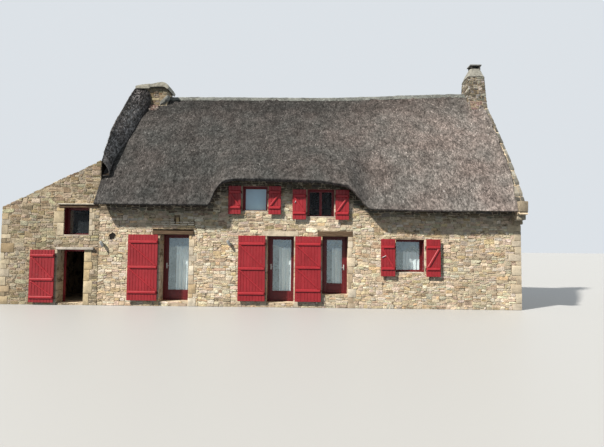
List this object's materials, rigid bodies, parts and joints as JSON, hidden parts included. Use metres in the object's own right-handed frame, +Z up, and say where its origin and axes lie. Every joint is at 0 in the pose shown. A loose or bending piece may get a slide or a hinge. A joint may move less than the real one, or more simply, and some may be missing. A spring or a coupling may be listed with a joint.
{
  "type": "thatched stone cottage",
  "caption": "Rubble stone cottage with a steep thatched roof lifted over two upper windows, gable chimneys, red shutters and a stone lean-to.",
  "frame": {"origin": "at ground level under the middle of the main roof's ridge", "axes": "+X along the front to the viewer's right (east), +Y from the front to the back, +Z up"},
  "size_m": [17.26, 7.28, 9.335],
  "materials": {
    "stone": "rubble granite in pale lime mortar",
    "slab_stone": "dressed or flat stone",
    "thatch": "weathered water reed thatch",
    "cement": "weathered cement render",
    "slate": "dark roofing slate",
    "timber": "aged oak",
    "painted_joinery": "red painted wood with glass",
    "grey_metal": "weathered grey metal",
    "shutter_red": "crimson gloss paint on boards"
  },
  "bodies": {
    "house": {"front_wall_base": "stone", "front_wall_west": "stone", "front_wall_between_a_b": "stone", "front_wall_between_b_c": "stone", "front_wall_east": "stone", "front_wall_upper": "stone", "lintel_door_a": "timber", "lintel_door_b": "slab_stone", "lintel_door_c": "timber", "rear_wall": "stone", "west_gable_wall": "stone", "east_gable_wall": "stone", "annex_front_wall_west": "stone", "annex_front_wall_east": "stone", "annex_front_wall_upper": "stone", "lintel_annex_window": "timber", "lintel_annex_door": "slab_stone", "annex_end_wall": "stone", "annex_rear_wall": "stone", "annex_roof": "slate", "annex_floor": "slab_stone", "annex_loft_floor": "timber", "annex_door_frame": "painted_joinery", "ground_floor": "slab_stone", "upper_floor": "timber", "thatch_front": "thatch", "thatch_rear": "thatch", "west_verge_thatch_front": "thatch", "west_verge_thatch_rear": "thatch", "ridge_cap": "cement", "west_chimney_stack": "stone", "west_chimney_hood": "cement", "east_chimney_stack": "stone", "east_chimney_cap": "slab_stone", "window_ground": "painted_joinery", "window_upper_west": "painted_joinery", "window_upper_east": "painted_joinery", "window_annex": "painted_joinery", "window_rear_west": "painted_joinery", "window_rear_east": "painted_joinery", "door_a_frame": "painted_joinery", "door_b_frame": "painted_joinery", "door_c_frame": "painted_joinery", "wall_lamp_west": "grey_metal", "wall_lamp_middle": "grey_metal"},
    "shutter_a": {"shutter_a": "shutter_red"},
    "shutter_b": {"shutter_b": "shutter_red"},
    "shutter_c": {"shutter_c": "shutter_red"},
    "shutter_ground_west": {"shutter_ground_west": "shutter_red"},
    "shutter_ground_east": {"shutter_ground_east": "shutter_red"},
    "shutter_upper_west_l": {"shutter_upper_west_l": "shutter_red"},
    "shutter_upper_west_r": {"shutter_upper_west_r": "shutter_red"},
    "shutter_upper_east_l": {"shutter_upper_east_l": "shutter_red"},
    "shutter_upper_east_r": {"shutter_upper_east_r": "shutter_red"},
    "annex_door": {"annex_door": "shutter_red"},
    "door_a_leaf": {"door_a_leaf": "painted_joinery"},
    "door_b_leaf": {"door_b_leaf": "painted_joinery"},
    "door_c_leaf": {"door_c_leaf": "painted_joinery"}
  },
  "joints": [
    {"name": "shutter_a_hinge", "type": "hinge", "parent": "house", "child": "shutter_a", "pos_m": [-4.89, -3.16, 1.2], "axis": [0, 0, -1], "range_deg": [-180, 0]},
    {"name": "shutter_b_hinge", "type": "hinge", "parent": "house", "child": "shutter_b", "pos_m": [-1.365, -3.16, 1.2], "axis": [0, 0, -1], "range_deg": [-180, 0]},
    {"name": "shutter_c_hinge", "type": "hinge", "parent": "house", "child": "shutter_c", "pos_m": [0.455, -3.16, 1.2], "axis": [0, 0, -1], "range_deg": [-180, 0]},
    {"name": "shutter_ground_west_hinge", "type": "hinge", "parent": "house", "child": "shutter_ground_west", "pos_m": [2.86, -3.16, 1.2], "axis": [0, 0, -1], "range_deg": [-180, 0]},
    {"name": "shutter_ground_east_hinge", "type": "hinge", "parent": "house", "child": "shutter_ground_east", "pos_m": [3.83, -3.16, 1.2], "axis": [0, 0, 1], "range_deg": [-180, 0]},
    {"name": "shutter_upper_west_l_hinge", "type": "hinge", "parent": "house", "child": "shutter_upper_west_l", "pos_m": [-2.19, -3.16, 1.2], "axis": [0, 0, -1], "range_deg": [-180, 0]},
    {"name": "shutter_upper_west_r_hinge", "type": "hinge", "parent": "house", "child": "shutter_upper_west_r", "pos_m": [-1.32, -3.16, 1.2], "axis": [0, 0, 1], "range_deg": [-180, 0]},
    {"name": "shutter_upper_east_l_hinge", "type": "hinge", "parent": "house", "child": "shutter_upper_east_l", "pos_m": [-0.05, -3.16, 1.2], "axis": [0, 0, -1], "range_deg": [-180, 0]},
    {"name": "shutter_upper_east_r_hinge", "type": "hinge", "parent": "house", "child": "shutter_upper_east_r", "pos_m": [0.88, -3.16, 1.2], "axis": [0, 0, 1], "range_deg": [-180, 0]},
    {"name": "annex_door_hinge", "type": "hinge", "parent": "house", "child": "annex_door", "pos_m": [-8.28, -3.16, 1.2], "axis": [0, 0, -1], "range_deg": [-180, 0]},
    {"name": "door_a_hinge", "type": "hinge", "parent": "house", "child": "door_a_leaf", "pos_m": [-3.967, -2.601, 1.2], "axis": [0, 0, -1], "range_deg": [0, 90]},
    {"name": "door_b_hinge", "type": "hinge", "parent": "house", "child": "door_b_leaf", "pos_m": [-0.512, -2.601, 1.2], "axis": [0, 0, -1], "range_deg": [0, 90]},
    {"name": "door_c_hinge", "type": "hinge", "parent": "house", "child": "door_c_leaf", "pos_m": [0.537, -2.601, 1.2], "axis": [0, 0, 1], "range_deg": [0, 90]}
  ]
}
